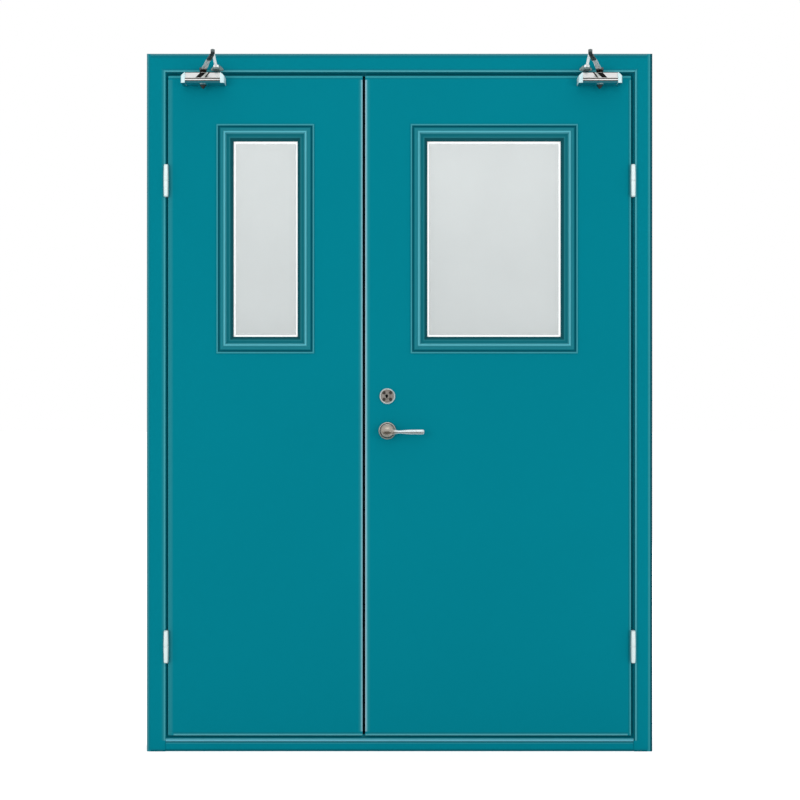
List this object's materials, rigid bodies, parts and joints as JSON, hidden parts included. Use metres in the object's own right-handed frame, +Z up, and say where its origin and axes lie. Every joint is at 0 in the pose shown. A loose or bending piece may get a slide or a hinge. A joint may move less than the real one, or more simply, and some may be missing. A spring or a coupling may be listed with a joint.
{
  "type": "unequal double fire door",
  "caption": "Unequal double steel fire door: teal leaves with moulded glass panels in a rebated frame, with lift-off hinges, overhead closers, lever set and cylinder.",
  "frame": {"origin": "middle of the sill's underside, at half the depth of the frame", "axes": "+X to the right seen from the pull side, +Y away from the viewer through the wall, +Z up"},
  "size_m": [1.522, 0.321, 2.1],
  "materials": {
    "door_paint": "satin",
    "core_board": "matte",
    "fire_glass": "gloss",
    "white_sealant": "matte",
    "seal_rubber": "matte",
    "hinge_steel": "satin",
    "closer_silver": "satin",
    "satin_steel": "satin",
    "lock_steel": "satin"
  },
  "bodies": {
    "frame": {"left_jamb": "door_paint", "right_jamb": "door_paint", "head": "door_paint", "sill": "door_paint", "stop_seals": "seal_rubber", "left_frame_hinges": "hinge_steel", "right_frame_hinges": "hinge_steel", "left_closer_shoe": "closer_silver", "right_closer_shoe": "closer_silver"},
    "left_leaf": {"left_leaf_core": "core_board", "left_leaf_front_skin": "door_paint", "left_leaf_back_skin": "door_paint", "left_front_glazing_frame": "door_paint", "left_back_glazing_frame": "door_paint", "left_glass": "fire_glass", "left_glazing_sealant": "white_sealant", "left_leaf_hinges": "hinge_steel", "left_closer_body": "closer_silver", "left_closer_caps": "closer_silver", "strike_plate": "lock_steel", "flush_bolts": "lock_steel", "meeting_seal": "seal_rubber"},
    "right_leaf": {"right_leaf_core": "core_board", "right_leaf_front_skin": "door_paint", "right_leaf_back_skin": "door_paint", "right_front_glazing_frame": "door_paint", "right_back_glazing_frame": "door_paint", "right_glass": "fire_glass", "right_glazing_sealant": "white_sealant", "right_leaf_hinges": "hinge_steel", "right_closer_body": "closer_silver", "right_closer_caps": "closer_silver", "front_lever_rose": "satin_steel", "back_lever_rose": "satin_steel", "front_lock_cylinder": "satin_steel", "back_lock_cylinder": "satin_steel", "lock_forend": "lock_steel", "latch_and_deadbolt": "lock_steel"},
    "lever": {"front_lever": "satin_steel", "back_lever": "satin_steel", "lever_spindle": "satin_steel"},
    "left_main_arm": {"left_main_arm": "closer_silver"},
    "left_forearm": {"left_forearm": "closer_silver"},
    "right_main_arm": {"right_main_arm": "closer_silver"},
    "right_forearm": {"right_forearm": "closer_silver"}
  },
  "joints": [
    {"name": "left_leaf_swing", "type": "hinge", "parent": "frame", "child": "left_leaf", "pos_m": [-0.7005, -0.0635, 1], "axis": [0, 0, -1], "range_deg": [0, 90], "stiffness_Nm_per_rad": 4, "springref_deg": -171.89},
    {"name": "left_main_arm_turn", "type": "hinge", "parent": "left_leaf", "child": "left_main_arm", "pos_m": [-0.5875, -0.08, 2.045], "axis": [0, 0, 1], "range_deg": [0, 137]},
    {"name": "left_forearm_turn", "type": "hinge", "parent": "frame", "child": "left_forearm", "pos_m": [-0.5485, -0.083, 2.054], "axis": [0, 0, -1], "range_deg": [0, 6]},
    {"name": "right_leaf_swing", "type": "hinge", "parent": "frame", "child": "right_leaf", "pos_m": [0.7005, -0.0635, 1], "axis": [0, 0, 1], "range_deg": [0, 90], "stiffness_Nm_per_rad": 4, "springref_deg": -171.89},
    {"name": "right_main_arm_turn", "type": "hinge", "parent": "right_leaf", "child": "right_main_arm", "pos_m": [0.5985, -0.08, 2.045], "axis": [0, 0, -1], "range_deg": [0, 134]},
    {"name": "right_forearm_turn", "type": "hinge", "parent": "frame", "child": "right_forearm", "pos_m": [0.5595, -0.083, 2.054], "axis": [0, 0, 1], "range_deg": [0, 4]},
    {"name": "lever_turn", "type": "hinge", "parent": "right_leaf", "child": "lever", "pos_m": [-0.0369, -0.03, 0.965], "axis": [0, 1, 0], "range_deg": [0, 45], "stiffness_Nm_per_rad": 1.5, "springref_deg": -20.05}
  ],
  "couplings": [
    {"joint": "left_main_arm_turn", "follows": "left_leaf_swing", "ratio": 1.5189},
    {"joint": "left_forearm_turn", "follows": "left_leaf_swing", "ratio": 0.05547},
    {"joint": "right_main_arm_turn", "follows": "right_leaf_swing", "ratio": 1.4768},
    {"joint": "right_forearm_turn", "follows": "right_leaf_swing", "ratio": 0.037331}
  ]
}
